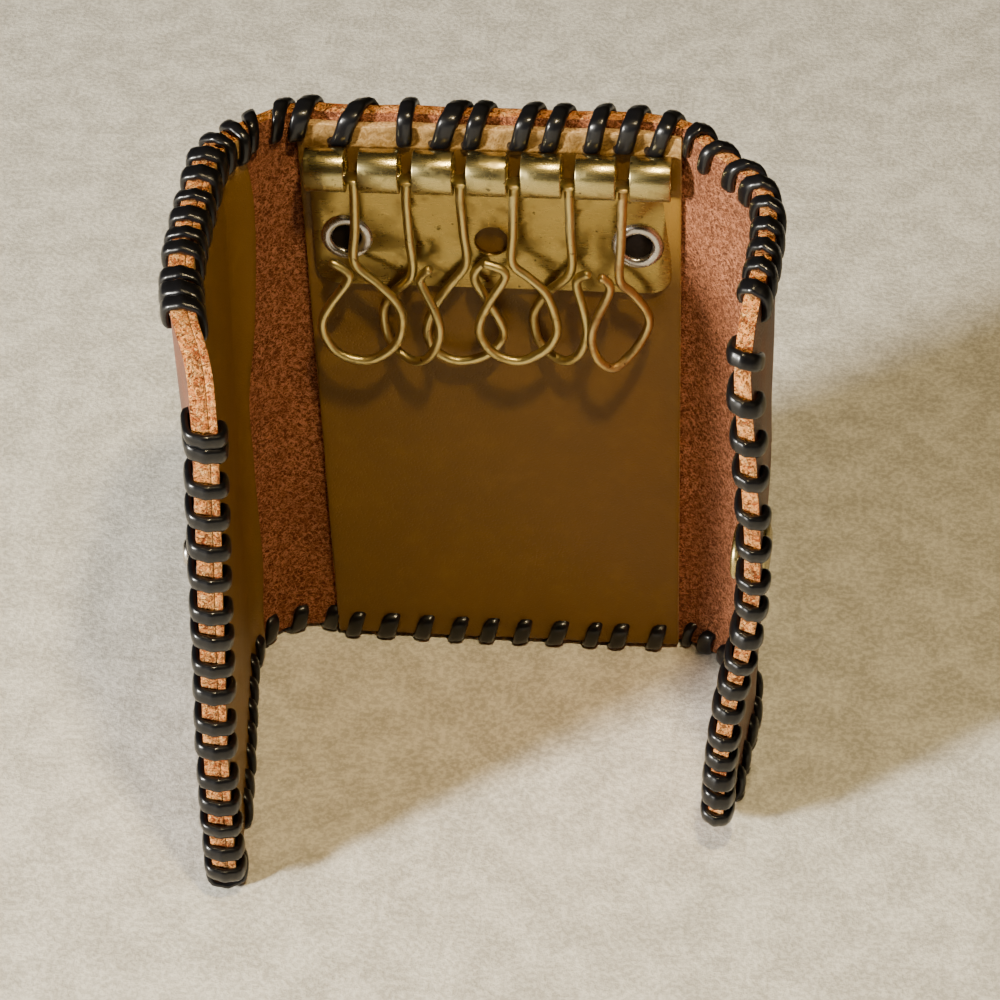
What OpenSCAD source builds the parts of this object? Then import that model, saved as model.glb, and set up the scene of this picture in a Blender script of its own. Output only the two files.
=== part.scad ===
// Hand-laced leather key case, standing open on its lower edge.
// The back panel faces -Y, the two flaps come forward from it, and six wire
// hooks hang from a rolled brass bar. Lengths are in millimetres.

/* [Leather] */
// Thickness of the outer leather
cover_t = 2.2; // [1.6:0.1:3]
// Thickness of the lining leather
lining_t = 1.1; // [0.8:0.1:1.6]
// Height of the leather, without the lace
leather_h = 93.8; // [85:0.1:110]
// Width of the flat part of the back panel, which is lined
back_w = 51.6; // [50:0.2:56]

/* [Left flap] */
// Radius of the left bend, at the middle of the leather
left_bend_r = 11.8; // [11:0.1:14]
// Turn of the left bend as it stands
left_turn = 96.5; // [90:0.5:105]
// Length of the left flap beyond its bend
left_flap_l = 43.4; // [40:0.2:45]
// Radius of the left flap's free corners
left_corner_r = 10; // [6:0.5:14]

/* [Right flap] */
// Radius of the tight crease that the right bend starts with
right_crease_r = 5; // [4:0.5:8]
// Turn of that crease
right_crease_turn = 36; // [20:1:45]
// Radius of the rest of the right bend
right_bend_r = 21; // [18:0.5:23]
// Turn of the whole right bend as it stands
right_turn = 97; // [90:0.5:105]
// Distance from the middle of the snap's socket to the right flap's front edge
socket_margin = 8.8; // [8.4:0.1:10]
// Radius of the right flap's free corners
right_corner_r = 10.4; // [6:0.2:12]

/* [Lace] */
// Width of the flat lace
lace_w = 2.4; // [1.8:0.1:2.8]
// Thickness of the lace
lace_t = 1; // [0.6:0.1:1.2]
// How far a stitch reaches in from the edge
lace_reach = 3.6; // [2.5:0.1:4.5]
// Distance that the stitches are set out at
lace_pitch = 4.7; // [4.2:0.1:6]
// How far a stitch leans over its reach
lace_lean = 1.1; // [0:0.1:1.4]

/* [Key plate] */
// Distance from the outer hooks to the ends of the brass plate
plate_end = 6.375; // [6:0.125:7]
// Thickness of the brass sheet
plate_t = 0.75; // [0.5:0.05:0.9]
// Height of the plate from its lower edge to the middle of the bar
plate_h = 20.4; // [18:0.1:24]
// Radius of the plate's lower corners
plate_corner_r = 3; // [1:0.5:5]
// Distance from the top of the leather down to the middle of the bar
bar_drop = 6.8; // [5.5:0.1:9]
// Outer diameter of the rolled bar
bar_d = 5.3; // [5.1:0.1:6]
// Distance between neighbouring hooks
hook_pitch = 7.25; // [7:0.05:7.5]
// Width of each slot in the bar
slot_w = 1.9; // [1.7:0.1:2.3]
// Diameter of the plate's spare hole
spare_hole_d = 4.6; // [3:0.1:6]
// Distance of each eyelet from the nearer end of the plate
eyelet_edge = 4.6; // [4.4:0.1:5]
// Height of the eyelets above the plate's lower edge
eyelet_rise = 8; // [7:0.1:10]
// Diameter of the hole through an eyelet
eyelet_bore_d = 4; // [3:0.1:4.6]
// Outer diameter of an eyelet's rim
eyelet_rim_d = 7.4; // [6.6:0.1:8.5]

/* [Hooks] */
// Diameter of the hook wire
wire_d = 1.05; // [0.8:0.05:1.2]
// Distance from the bar's middle down to the bend below the stem
stem_l = 17; // [15:0.1:19]
// Distance from the bar's middle to the middle of the loop
loop_drop = 26.8; // [25:0.1:29]
// Radius of the widest loop, at the middle of the wire
loop_r = 5.2; // [4.4:0.1:5.3]
// Sideways step from the stem to the middle of the loop
loop_step = 1; // [0.6:0.1:1.4]
// Length of the flared end beside the stem
tip_l = 3.2; // [2.5:0.1:3.4]
// Diameter of the head that the bar holds
head_d = 2.7; // [2.4:0.1:2.9]
// Thickness of the head
head_t = 0.6; // [0.4:0.1:0.8]

/* [Snap] */
// Distance of the stud from the left flap's bend
stud_out = 26.4; // [20:0.1:30]
// Height of the snap above the lower edge of the leather
snap_rise = 48.6; // [40:0.1:60]
// Diameter of the stud's head
stud_d = 3.7; // [3:0.1:4.5]
// Height of the stud above the leather
stud_h = 2.6; // [2:0.1:3]
// Diameter of the socket's ring
socket_d = 7.6; // [7:0.1:9]
// Height of the socket's ring above the leather
socket_h = 1.6; // [1.2:0.1:1.8]
// Diameter of the cap on the outside
cap_d = 8.6; // [7.6:0.2:9]

/* [Hidden] */
$fn = 48;

// Colours of the real materials
suede = "#8c4a34";
mustard = "#8a6420";
brass = "#b39a55";
nickel = "#c9c9c6";
lace_black = "#141414";

// One overrun serves every cut
over = 1;
// Gap that keeps a flat lace off a curved wall
seat_gap = 0.2;

// Sides: 0 is the left flap, 1 is the right flap. Both are drawn as the right one
LEFT = 0;
RIGHT = 1;
crease_r = [left_bend_r, right_crease_r];
crease_turn = [0, right_crease_turn];
bend_r = [left_bend_r, right_bend_r];
turn = [left_turn, right_turn];
corner_r = [left_corner_r, right_corner_r];

// Levels
leather_z = lace_t;
leather_top = leather_z + leather_h;
bar_z = leather_top - bar_drop;
bar_r = bar_d / 2;
bar_bore_r = bar_r - plate_t;
bar_y = -lining_t - bar_r;
plate_z = bar_z - plate_h;
eyelet_z = plate_z + eyelet_rise;
snap_z = leather_z + snap_rise;
half_back = back_w / 2;
mid_y = cover_t / 2;

// The plate is as wide as its row of hooks asks for
hooks = 6;
plate_w = (hooks - 1) * hook_pitch + 2 * plate_end;
eyelet_spacing = plate_w - 2 * eyelet_edge;
right_angle = 90;

// The middle line of the leather is followed by its length from where the bend starts: below zero it
// is on the back panel, then on a tight crease, on a wide curve, and on the straight flap
degrees_per_radian = 180 / PI;
function crease_run(side) = crease_r[side] * crease_turn[side] / degrees_per_radian;
function bend_run(side) =
    crease_run(side) + bend_r[side] * (turn[side] - crease_turn[side]) / degrees_per_radian;
function crease_centre(side) = [half_back, mid_y - crease_r[side]];
function bend_centre(side) = crease_centre(side)
    - (bend_r[side] - crease_r[side]) * [sin(crease_turn[side]), cos(crease_turn[side])];
function angle_at(side, run) =
    run < 0 ? 0
    : run < crease_run(side) ? run / crease_r[side] * degrees_per_radian
    : run < bend_run(side)
        ? crease_turn[side] + (run - crease_run(side)) / bend_r[side] * degrees_per_radian
    : turn[side];
function on_line(side, run, out = 0) = let (angle = angle_at(side, run), way = [sin(angle), cos(angle)])
    run < 0 ? [half_back + run, mid_y + out]
    : run < crease_run(side) ? crease_centre(side) + (crease_r[side] + out) * way
    : bend_centre(side) + (bend_r[side] + out) * way
        + max(0, run - bend_run(side)) * [cos(angle), -sin(angle)];

// The leather folds along two lines in each bend, and a soft strip of it gives way at each line
left_fold_start = 3.7;
left_fold_run = 10.5;
right_fold_start = 2.4;
right_fold_run = 18;
fold_gap = 2.4;
fold_start = [left_fold_start, right_fold_start];
fold_end = fold_start + [left_fold_run, right_fold_run];

// Closing turns each flap until it lies along the back, most of it at the inner fold
inner_fold_shares = [0.557, 0.627];
function unfolded(side) = 180 - turn[side];
function turned(p, centre, angle) = let (d = p - centre)
    centre + [d[0] * cos(angle) + d[1] * sin(angle), d[1] * cos(angle) - d[0] * sin(angle)];
function closed(side, p) = let (inner = unfolded(side) * inner_fold_shares[side])
    turned(turned(p, on_line(side, fold_end[side]), unfolded(side) - inner),
        on_line(side, fold_start[side]), inner);

// The socket meets the stud when both flaps are closed
function flap_start(side) = on_line(side, bend_run(side));
snap_out = [stud_out,
    closed(RIGHT, flap_start(RIGHT))[0] + closed(LEFT, flap_start(LEFT))[0] - stud_out];
flap_l = [left_flap_l, snap_out[RIGHT] + socket_margin];

for (side = [LEFT, RIGHT])
    echo(side = side, inner = on_line(side, fold_start[side]), outer = on_line(side, fold_end[side]),
        closed_at = closed(side, flap_start(side)), snap = on_line(side, bend_run(side) + snap_out[side]),
        snap_out = snap_out[side], front = on_line(side, bend_run(side) + flap_l[side]));

// The finished case is centred over the origin, lace and stud included
reach_left = max(on_line(LEFT, bend_run(LEFT) + stud_out, cover_t / 2 + stud_h)[0],
    half_back + left_bend_r + cover_t / 2 + seat_gap + lace_t);
reach_right = bend_centre(RIGHT)[0] + right_bend_r + cover_t / 2 + seat_gap + lace_t;
reach_back = cover_t + seat_gap + lace_t;
reach_front = lace_t - on_line(LEFT, bend_run(LEFT) + left_flap_l, cover_t / 2)[1];
centre_x = (reach_right - reach_left) / 2;
centre_y = (reach_back - reach_front) / 2;
echo(centre_x = centre_x, centre_y = centre_y, snap_z = snap_z, bar_z = bar_z, bar_y = bar_y);

module placed() translate([-centre_x, -centre_y, 0]) children();
// The left side is drawn as the right one and turned over
module on_side(side) mirror([side == LEFT ? 1 : 0, 0, 0]) children();
module at_line(side, run, angle)
    translate(concat(on_line(side, run), 0))
        rotate([0, 0, -angle])
            children();
module at_flap(side) at_line(side, bend_run(side), turn[side]) children();

// Leather

// Stations along the middle line: both ends, and even steps round the bend
bend_steps = 32;
function stations(side, from, to) = concat([from],
    [for (i = [0 : bend_steps]) let (run = bend_run(side) * i / bend_steps) if (run > from && run < to) run],
    [to]);

// A stretch of the outer leather, over its whole height
module cover_stretch(side, from, to) {
    runs = stations(side, from, to);
    last = len(runs) - 1;
    translate([0, 0, leather_z])
        linear_extrude(leather_h)
            polygon(concat([for (run = runs) on_line(side, run, cover_t / 2)],
                [for (i = [0 : last]) on_line(side, runs[last - i], -cover_t / 2)]));
}

// What a rounded free corner leaves of the square one
module corner_waste(side)
    at_flap(side)
        for (top = [false, true])
            translate([flap_l[side] - corner_r[side], cover_t / 2 + over,
                top ? leather_top - corner_r[side] : leather_z + corner_r[side]])
                rotate([90, 0, 0])
                    linear_extrude(cover_t + lining_t + 2 * over)
                        difference() {
                            translate([0, top ? 0 : -corner_r[side] - over])
                                square(corner_r[side] + over);
                            circle(corner_r[side]);
                        }

module across_flap(side, along, z, out)
    at_flap(side)
        translate([along, out, z])
            rotate([-90, 0, 0])
                children();

module cover_back()
    color(suede) placed()
        for (side = [LEFT, RIGHT])
            on_side(side)
                cover_stretch(side, -half_back, fold_start[side] - fold_gap / 2);

module cover_bend(side)
    color(suede) placed() on_side(side)
        cover_stretch(side, fold_start[side] + fold_gap / 2, fold_end[side] - fold_gap / 2);

module folds(side)
    color(suede) placed() on_side(side)
        for (line = [fold_start[side], fold_end[side]])
            cover_stretch(side, line - fold_gap / 2, line + fold_gap / 2);

// The snap goes through the flap in a hole, with a shallow seat for its inner flange
post_d = 2.2;
post_hole_d = 2.4;
post_flange_d = 6;
post_flange_t = 0.4;

module cover_flap(side)
    color(suede) placed() on_side(side) difference() {
        cover_stretch(side, fold_end[side] + fold_gap / 2, bend_run(side) + flap_l[side]);
        corner_waste(side);
        across_flap(side, snap_out[side], snap_z, -cover_t / 2 - over)
            cylinder(d = post_hole_d, h = cover_t + 2 * over);
    }

module cover_left_bend() cover_bend(LEFT);
module cover_right_bend() cover_bend(RIGHT);
module fold_left() folds(LEFT);
module fold_right() folds(RIGHT);
module cover_left_flap() cover_flap(LEFT);
module cover_right_flap() cover_flap(RIGHT);

module lining_left()
    color(mustard) placed() on_side(LEFT) difference() {
        at_flap(LEFT)
            translate([0, -cover_t / 2 - lining_t, leather_z])
                cube([flap_l[LEFT], lining_t, leather_h]);
        corner_waste(LEFT);
        across_flap(LEFT, stud_out, snap_z, -cover_t / 2 - post_flange_t)
            cylinder(d = post_flange_d + 2 * seat_gap, h = post_flange_t + over);
    }

// Eyelets clamp the plate to the lining, and their backs sit in shallow seats behind it
eyelet_wall = 0.35;
eyelet_rim_t = 0.55;
eyelet_back_d = 6.4;
eyelet_back_t = 0.3;
eyelet_hole_r = eyelet_bore_d / 2 + eyelet_wall;

module each_eyelet()
    for (x = [-eyelet_spacing / 2, eyelet_spacing / 2])
        translate([x, 0, eyelet_z])
            rotate([90, 0, 0])
                children();

module centre_lining()
    color(mustard) placed() difference() {
        translate([-half_back, -lining_t, leather_z])
            cube([back_w, lining_t, leather_h]);
        each_eyelet() {
            translate([0, 0, -over])
                cylinder(r = eyelet_hole_r, h = lining_t + 2 * over);
            translate([0, 0, -over])
                cylinder(d = eyelet_back_d + 2 * seat_gap, h = eyelet_back_t + over);
        }
    }

module plate_eyelets()
    color(nickel) placed() each_eyelet()
        rotate_extrude() {
            front = lining_t + plate_t;
            inner = eyelet_bore_d / 2;
            translate([inner, 0])
                square([eyelet_wall, front + eyelet_rim_t / 2]);
            translate([inner, 0])
                square([eyelet_back_d / 2 - inner, eyelet_back_t]);
            translate([inner + eyelet_rim_t / 2, front])
                square([eyelet_rim_d / 2 - inner - eyelet_rim_t, eyelet_rim_t]);
            for (r = [inner + eyelet_rim_t / 2, eyelet_rim_d / 2 - eyelet_rim_t / 2])
                translate([r, front + eyelet_rim_t / 2])
                    circle(d = eyelet_rim_t);
        }

// Key plate: a sheet with windows, whose top is rolled forward into seven knuckles
function hook_x(i) = (i - (hooks - 1) / 2) * hook_pitch;

module plate_outline() {
    r = plate_corner_r;
    translate([-plate_w / 2, plate_z + r])
        square([plate_w, plate_h - r]);
    translate([r - plate_w / 2, plate_z])
        square([plate_w - 2 * r, r]);
    for (x = [r - plate_w / 2, plate_w / 2 - r])
        translate([x, plate_z + r])
            circle(r);
}

module key_plate()
    color(brass) placed() difference() {
        union() {
            translate([0, -lining_t, 0])
                rotate([90, 0, 0])
                    linear_extrude(plate_t)
                        plate_outline();
            translate([-plate_w / 2, bar_y, bar_z])
                rotate([0, 90, 0])
                    cylinder(r = bar_r, h = plate_w);
        }
        translate([-plate_w / 2 - over, bar_y, bar_z])
            rotate([0, 90, 0])
                cylinder(r = bar_bore_r, h = plate_w + 2 * over);
        for (i = [0 : hooks - 1])
            translate([hook_x(i) - slot_w / 2, bar_y - bar_r - over, bar_z - bar_r - seat_gap])
                cube([slot_w, bar_d + 2 * over, bar_d + 2 * over]);
        each_eyelet()
            cylinder(r = eyelet_hole_r, h = lining_t + plate_t + over);
        translate([0, 0, eyelet_z])
            rotate([90, 0, 0])
                cylinder(d = spare_hole_d, h = lining_t + plate_t + over);
    }

// Hooks, drawn in the plane of the loop with the bar's middle at the origin
wire_r = wire_d / 2;
neck_r = 1.6;
joint_bead = 0.03;
waist_gap = 0.3;
waist_drop = 18.6;
tip_turn = 52;
head_clearance = 0.04;
head_seat = sqrt(pow(bar_bore_r, 2) - pow(head_d / 2, 2) + pow(slot_w / 2, 2)) - head_clearance;

// Way round, loop width as a share of the widest, twist about the stem and lean from the wall
hook_side = [1, -1, -1, 1, -1, 1];
loop_shares = [1, 0.83, 0.98, 1, 0.86, 0.76];
hook_twist = [0, 28, 0, 0, 29, -15];
hook_lean = [2.5, 1.6, -2.5, 3.2, 1.4, 1.5];

function heading(from, to) = atan2(to[1] - from[1], to[0] - from[0]);
function toward(angle, distance) = distance * [cos(angle), sin(angle)];

module rod(from, to)
    translate([from[0], 0, from[1]])
        rotate([0, 90 - heading(from, to), 0])
            cylinder(r = wire_r, h = norm(to - from));

module curl(centre, r, start, sweep)
    translate([centre[0], 0, centre[1]])
        rotate([90, 0, 0])
            rotate([0, 0, sweep < 0 ? start + sweep : start])
                rotate_extrude(angle = abs(sweep))
                    translate([r, 0])
                        circle(wire_r);

// A rounded corner of the wire at a point, from one heading to the next
module corner(at, a1, a2) {
    way = sign(a2 - a1);
    back = neck_r * tan(abs(a2 - a1) / 2);
    centre = at - toward(a1, back) + toward(a1 + way * right_angle, neck_r);
    curl(centre, neck_r, a1 - way * right_angle, a2 - a1);
}

module hook_wire(width_share) {
    r = loop_r * width_share;
    centre = [loop_step * width_share, -loop_drop - (loop_r - r)];
    neck = [0, -stem_l];
    waist = [-wire_d - waist_gap, -waist_drop];
    down = -right_angle;
    neck_out = heading(neck, centre) + asin(r / norm(centre - neck));
    waist_out = heading(waist, centre) - asin(r / norm(centre - waist));
    neck_run = sqrt(pow(norm(centre - neck), 2) - r * r);
    waist_run = sqrt(pow(norm(centre - waist), 2) - r * r);
    loop_start = neck + toward(neck_out, neck_run);
    loop_end = waist + toward(waist_out, waist_run);
    waist_in = waist_out + 180;
    tip_way = waist_in + tip_turn;
    neck_back = neck_r * tan(abs(neck_out - down) / 2);
    waist_back = neck_r * tan(tip_turn / 2);
    start_angle = heading(centre, loop_start);
    end_angle = heading(centre, loop_end);
    tip = waist + toward(tip_way, tip_l);

    neck_start = neck - toward(down, neck_back);
    neck_end = neck + toward(neck_out, neck_back);
    waist_start = waist - toward(waist_in, waist_back);
    waist_end = waist + toward(tip_way, waist_back);

    rod([0, head_t / 2 - head_seat], neck_start);
    corner(neck, down, neck_out);
    rod(neck_end, loop_start);
    curl(centre, r, start_angle, end_angle - start_angle - 360);
    rod(loop_end, waist_start);
    corner(waist, waist_in, tip_way);
    rod(waist_end, tip);
    for (p = [neck_start, neck_end, loop_start, loop_end, waist_start, waist_end, tip])
        translate([p[0], 0, p[1]])
            sphere(wire_r + joint_bead);
}

module hook(i)
    color(brass) placed()
        translate([hook_x(i), bar_y, bar_z])
            rotate([-hook_lean[i], 0, 0])
                rotate([0, 0, -hook_twist[i]])
                    mirror([hook_side[i] < 0 ? 1 : 0, 0, 0]) {
                        hook_wire(loop_shares[i]);
                        translate([0, 0, -head_seat])
                            cylinder(d = head_d, h = head_t);
                    }

module hook_1() hook(0);
module hook_2() hook(1);
module hook_3() hook(2);
module hook_4() hook(3);
module hook_5() hook(4);
module hook_6() hook(5);

// Snap

module snap_stud()
    color(nickel) placed() on_side(LEFT)
        across_flap(LEFT, stud_out, snap_z, cover_t / 2)
            rotate_extrude() {
                flange_t = stud_h / 4;
                neck_share = 0.42;
                square([stud_d, flange_t]);
                square([neck_share * stud_d, stud_h - stud_d / 4]);
                translate([0, stud_h - stud_d / 4 - stud_d / 8])
                    square([stud_d / 2 - stud_d / 4, stud_d / 4 + stud_d / 8]);
                translate([stud_d / 4, stud_h - stud_d / 4])
                    circle(d = stud_d / 2);
            }

module stud_post()
    color(nickel) placed() on_side(LEFT)
        across_flap(LEFT, stud_out, snap_z, -cover_t / 2) {
            cylinder(d = post_d, h = cover_t);
            translate([0, 0, -post_flange_t])
                cylinder(d = post_flange_d, h = post_flange_t);
        }

socket_bore_d = stud_d + 2 * seat_gap;

module snap_socket()
    color(brass) placed() on_side(RIGHT)
        across_flap(RIGHT, snap_out[RIGHT], snap_z, -cover_t / 2 - socket_h)
            difference() {
                union() {
                    cylinder(d = socket_d - socket_h / 2, h = socket_h);
                    translate([0, 0, socket_h / 4])
                        cylinder(d = socket_d, h = socket_h - socket_h / 4);
                }
                translate([0, 0, -over])
                    cylinder(d = socket_bore_d, h = over + socket_h);
            }

module snap_cap()
    color(brass) placed() on_side(RIGHT)
        across_flap(RIGHT, snap_out[RIGHT], snap_z, cover_t / 2) {
            cylinder(d = cap_d, h = lace_t / 2);
            translate([0, 0, lace_t / 2])
                cylinder(d1 = cap_d, d2 = cap_d - lace_t, h = lace_t / 2);
        }

// Lace

// One stitch over an edge: it runs along X, the edge faces +Z and the wall is across Y
module stitch(wall, lean = 0) {
    rotate([90, 0, 90])
        linear_extrude(lace_w, center = true) {
            translate([-wall / 2, 0])
                square([wall, lace_t]);
            for (y = [-wall / 2, wall / 2])
                intersection() {
                    translate([y, 0])
                        circle(lace_t);
                    translate([y < 0 ? y - lace_t : y, 0])
                        square(lace_t);
                }
        }
    for (way = [-1, 1])
        translate([0, way < 0 ? -wall / 2 : wall / 2 + lace_t, 0])
            rotate([90, 0, 0])
                linear_extrude(lace_t)
                    polygon([[-lace_w / 2, 0], [lace_w / 2, 0],
                        [lace_w / 2 + way * lean, -lace_reach], [-lace_w / 2 + way * lean, -lace_reach]]);
}

// Both long edges of the case carry the same stitches, the lower ones upside down
module at_top() translate([0, 0, leather_top]) children();
module at_bottom() translate([0, 0, leather_z]) rotate([180, 0, 0]) children();
module at_level(top)
    if (top) at_top() children();
    else at_bottom() children();

// Even places for the stitches of a run
function places(from, to) = let (n = round((to - from) / lace_pitch), step = (to - from) / n)
    [for (i = [0 : n - 1]) from + (i + 0.5) * step];

// Leather that a stitch at a place goes round. One near a bend stands upright, the others lean
function lined(side, run) = run < lace_w / 2 || (side == LEFT && run > bend_run(side) - lace_w / 2);
function bent(side, run) = run > -lace_w && run < bend_run(side) + lace_w / 2;
wall = [cover_t + lining_t, cover_t];
inset = [lining_t / 2, 0];

function stitch_angle(side, run) =
    !lined(side, run) ? angle_at(side, run) : run < bend_run(side) / 2 ? 0 : turn[side];

module stitch_at(side, run, top) {
    in = lined(side, run) ? lining_t / 2 : 0;
    at_line(side, run, stitch_angle(side, run))
        at_level(top)
            translate([0, top ? -in : in, 0])
                stitch(cover_t + 2 * in + (bent(side, run) ? 2 * seat_gap : 0),
                    bent(side, run) ? 0 : lace_lean);
}

// The back's stitches are evenly spaced from one inner fold to the other, and those on either side of
// an inner fold stand apart, because its angle closes on them
left_fold_clear = 0.6;
right_fold_clear = 1.7;
fold_clear = [left_fold_clear, right_fold_clear];
module lace_back(top)
    color(lace_black) placed()
        for (x = places(-half_back - fold_start[LEFT] + fold_clear[LEFT],
                half_back + fold_start[RIGHT] - fold_clear[RIGHT]))
            on_side(x < 0 ? LEFT : RIGHT)
                stitch_at(x < 0 ? LEFT : RIGHT, abs(x) - half_back, top);

module lace_bend(side)
    color(lace_black) placed() on_side(side)
        for (top = [false, true], run = places(fold_start[side] + fold_clear[side] / 4, fold_end[side]))
            stitch_at(side, run, top);

// A flap's stitches run from its outer fold to the start of its rounded corner
module lace_along(side, top)
    color(lace_black) placed() on_side(side)
        for (run = places(fold_end[side], bend_run(side) + flap_l[side] - corner_r[side]))
            stitch_at(side, run, top);

// Stitches round a free corner, from the top or bottom edge to the front edge. The left flap's upper
// corner is bare, and the right one's has lost a stitch
lost_stitch = 1;
module corner_stitches(side, top, missing = -1)
    at_flap(side) {
        r = corner_r[side];
        steps = places(0, r * PI / 2);
        for (i = [0 : len(steps) - 1])
            if (i != missing)
                at_level(top)
                    translate([flap_l[side] - r, top ? -inset[side] : inset[side], -r])
                        rotate([0, steps[i] / r * degrees_per_radian, 0])
                            translate([0, 0, r])
                                stitch(wall[side]);
    }

module front_stitches(side, from, to)
    at_flap(side)
        for (z = places(from, to))
            translate([flap_l[side], -inset[side], z])
                rotate([0, 90, 0])
                    stitch(wall[side], lace_lean);

module lace_front(side)
    color(lace_black) placed() on_side(side)
        front_stitches(side, leather_z + corner_r[side], leather_top - corner_r[side]);

module lace_back_top() lace_back(true);
module lace_back_bottom() lace_back(false);
module lace_left_bend() lace_bend(LEFT);
module lace_right_bend() lace_bend(RIGHT);
module lace_left_top() lace_along(LEFT, true);
module lace_left_front() lace_front(LEFT);
module lace_left_bottom() {
    lace_along(LEFT, false);
    color(lace_black) placed() on_side(LEFT) corner_stitches(LEFT, false);
}
module lace_right_top() {
    lace_along(RIGHT, true);
    color(lace_black) placed() on_side(RIGHT) corner_stitches(RIGHT, true, lost_stitch);
}
module lace_right_front() lace_front(RIGHT);
module lace_right_bottom() {
    lace_along(RIGHT, false);
    color(lace_black) placed() on_side(RIGHT) corner_stitches(RIGHT, false);
}

cover_back();
centre_lining();
key_plate();
plate_eyelets();
lace_back_top();
lace_back_bottom();
cover_left_bend();
fold_left();
lace_left_bend();
cover_left_flap();
lining_left();
lace_left_top();
lace_left_front();
lace_left_bottom();
snap_stud();
stud_post();
cover_right_bend();
fold_right();
lace_right_bend();
cover_right_flap();
lace_right_top();
lace_right_front();
lace_right_bottom();
snap_socket();
snap_cap();
hook_1();
hook_2();
hook_3();
hook_4();
hook_5();
hook_6();
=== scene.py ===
# %% [markdown]
# # A laced leather key case
#
# The case is one strip of thick leather, suede inside and grained outside. It is lined in mustard
# leather, edged with black lace, and bent so that it stands open like a small screen. A brass
# plate on the back holds six wire hooks, and a snap closes the two flaps.
#
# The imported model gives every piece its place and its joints. This script gives each piece its
# true form and finish. Lengths are in millimetres until a piece is finished.

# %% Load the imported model
import math
from collections import namedtuple

import bmesh
import bpy
from mathutils import Matrix, Vector, noise


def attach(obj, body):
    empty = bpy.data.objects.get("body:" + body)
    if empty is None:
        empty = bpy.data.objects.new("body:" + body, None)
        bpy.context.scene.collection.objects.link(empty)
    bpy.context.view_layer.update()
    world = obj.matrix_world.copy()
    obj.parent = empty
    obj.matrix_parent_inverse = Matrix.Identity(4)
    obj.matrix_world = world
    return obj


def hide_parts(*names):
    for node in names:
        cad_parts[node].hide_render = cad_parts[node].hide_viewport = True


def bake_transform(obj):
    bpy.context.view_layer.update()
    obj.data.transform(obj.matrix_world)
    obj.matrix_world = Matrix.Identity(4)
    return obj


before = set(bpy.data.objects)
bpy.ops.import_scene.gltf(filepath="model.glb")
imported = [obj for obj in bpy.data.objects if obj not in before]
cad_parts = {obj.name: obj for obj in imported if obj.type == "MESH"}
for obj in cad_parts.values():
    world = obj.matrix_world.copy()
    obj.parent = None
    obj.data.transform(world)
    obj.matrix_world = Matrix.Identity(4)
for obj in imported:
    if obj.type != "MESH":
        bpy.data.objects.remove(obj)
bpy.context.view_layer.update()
MM = 0.001
MIDDLE = Vector((0.1023, 26.4407, 0.0))  # from the middle of the brass bar to the shared frame

# %% [markdown]
# ## The camera
#
# The camera was fitted to the photograph from the brass bar, the eyelets and the square lining.
# It looks down at 40.6 degrees from a little to the right, and it is turned 2.2 degrees. Its
# axes are built from those three angles, so they can be read and changed.

# %% Set the camera
yaw, pitch, roll = (math.radians(a) for a in (-6.94, 40.61, 2.25))
ahead = Vector((math.sin(yaw) * math.cos(pitch), math.cos(yaw) * math.cos(pitch), -math.sin(pitch)))
level = Vector((math.cos(yaw), -math.sin(yaw), 0.0))
down = ahead.cross(level)
right = level * math.cos(roll) + down * math.sin(roll)
down = down * math.cos(roll) - level * math.sin(roll)
camera = bpy.data.objects.new("camera", bpy.data.cameras.new("camera"))
camera.data.lens, camera.data.sensor_width = 116.3, 36.0
camera.data.clip_start, camera.data.clip_end = 0.01, 20.0
camera.matrix_world = Matrix.Translation(Vector((42.975, -329.711, 335.194)) * MM) @ Matrix(
    (right, -down, -ahead)).transposed().to_4x4()
bpy.context.scene.collection.objects.link(camera)
bpy.context.scene.camera = camera
print("camera looks along", [round(c, 3) for c in ahead])

# %% [markdown]
# ## Sums between shader sockets
#
# A finish is a small calculation: noise is scaled, mixed and turned into colour and height.
# One class wraps a socket so that `1 - grain * 0.4` adds the Math nodes by itself. Colours go
# through Mix nodes, because a Math node would turn them grey. Any other node comes from one
# method, which takes the node's type, its settings and what its sockets are fed.

# %% A socket that does sums
def feed(tree, socket, value):
    """Link a socket, or set it to a number, a colour or a vector."""
    if isinstance(value, Sum):
        tree.links.new(value.socket, socket)
    elif isinstance(value, (tuple, list)) and socket.type == "RGBA":
        socket.default_value = (*value, 1.0)
    else:
        socket.default_value = value


class Sum:
    """A socket's value, ready for sums."""

    def __init__(self, tree, socket):
        self.tree, self.socket = tree, socket

    def maths(self, operation, first, second):
        step = self.tree.nodes.new("ShaderNodeMath")
        step.operation = operation
        feed(self.tree, step.inputs[0], first)
        feed(self.tree, step.inputs[1], second)
        return Sum(self.tree, step.outputs[0])

    def __add__(self, other): return self.maths("ADD", self, other)
    def __radd__(self, other): return self.maths("ADD", other, self)
    def __sub__(self, other): return self.maths("SUBTRACT", self, other)
    def __rsub__(self, other): return self.maths("SUBTRACT", other, self)
    def __mul__(self, other): return self.maths("MULTIPLY", self, other)
    def __rmul__(self, other): return self.maths("MULTIPLY", other, self)


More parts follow.
